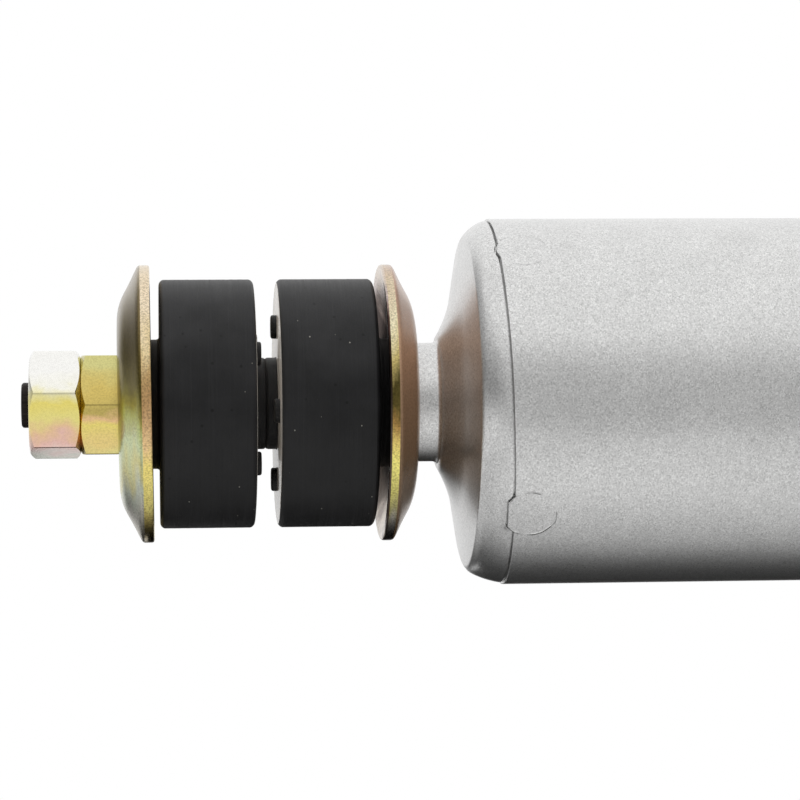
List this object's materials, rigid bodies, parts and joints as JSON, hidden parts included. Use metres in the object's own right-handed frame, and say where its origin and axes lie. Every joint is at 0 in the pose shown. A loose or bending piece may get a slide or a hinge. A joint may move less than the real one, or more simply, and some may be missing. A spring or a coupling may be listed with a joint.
{
  "type": "shock absorber",
  "caption": "Twin-tube gas shock absorber with a rubber-bushed stem on top, a silver dust cover over the rod and a bushed eye below.",
  "frame": {"origin": "centre of the lower eye's sleeve bore", "axes": "+Z along the damper from the eye to the stem, +Y along the eye's bore, +X across both; fully extended at rest"},
  "size_m": [0.0638, 0.0638, 0.6382],
  "materials": {
    "silver_paint": "metallic silver paint over pressed and drawn steel",
    "yellow_zinc": "steel, zinc plated and yellow passivated",
    "rubber": "moulded black rubber",
    "steel": "plain steel",
    "spring_steel": "hardened spring steel",
    "sintered_iron": "sintered iron",
    "bush_bronze": "bronze lined with PTFE",
    "band_ptfe": "bronze-filled PTFE",
    "bumper_nylon": "nylon",
    "chromed_rod": "hard chrome, ground"
  },
  "bodies": {
    "sleeve": {"eye_sleeve": "steel"},
    "cylinder": {"lower_eye": "silver_paint", "eye_bush": "rubber", "eye_weld": "silver_paint", "base_cap": "silver_paint", "base_weld": "silver_paint", "reserve_tube": "silver_paint", "pressure_tube": "steel", "base_valve_body": "sintered_iron", "base_valve_pin": "steel", "compression_discs": "spring_steel", "intake_spring": "spring_steel", "rod_guide": "sintered_iron", "guide_bush": "bush_bronze", "guide_o_ring": "rubber", "seal_washer": "steel", "oil_seal": "rubber", "garter_spring": "spring_steel"},
    "band": {"piston_band": "band_ptfe"},
    "rod": {"piston_rod": "chromed_rod", "piston": "sintered_iron", "rebound_discs": "spring_steel", "rebound_seat": "steel", "rebound_spring": "spring_steel", "piston_nut": "steel", "check_spring": "spring_steel", "rebound_stop": "steel", "rebound_bumper": "bumper_nylon", "dust_cap": "silver_paint", "dust_tube": "silver_paint", "stem_collar": "silver_paint", "inner_cup_washer": "yellow_zinc", "inner_bush": "rubber", "outer_bush": "rubber", "outer_cup_washer": "yellow_zinc", "stem_nut": "yellow_zinc", "lock_nut": "yellow_zinc"},
    "intake_valve": {"intake_plate": "spring_steel"},
    "check_valve": {"check_plate": "spring_steel"}
  },
  "joints": [
    {"name": "eye_twist", "type": "hinge", "parent": "sleeve", "child": "cylinder", "pos_m": [0, 0, 0], "axis": [0, 1, 0], "range_deg": [-15, 15], "stiffness_Nm_per_rad": 100},
    {"name": "stroke", "type": "slide", "parent": "cylinder", "child": "band", "axis": [0, 0, -1], "range_m": [0, 0.2], "stiffness_N_per_m": 250, "springref_m": -0.4},
    {"name": "rod_turn", "type": "hinge", "parent": "band", "child": "rod", "pos_m": [0, 0, 0.28328], "axis": [0, 0, 1], "continuous": true},
    {"name": "intake_lift", "type": "slide", "parent": "cylinder", "child": "intake_valve", "axis": [0, 0, 1], "range_m": [0, 0.0012], "stiffness_N_per_m": 150, "springref_m": -0.002, "deforming": ["intake_spring"]},
    {"name": "check_lift", "type": "slide", "parent": "rod", "child": "check_valve", "axis": [0, 0, 1], "range_m": [0, 0.0009], "stiffness_N_per_m": 150, "springref_m": -0.002, "deforming": ["check_spring"]}
  ]
}
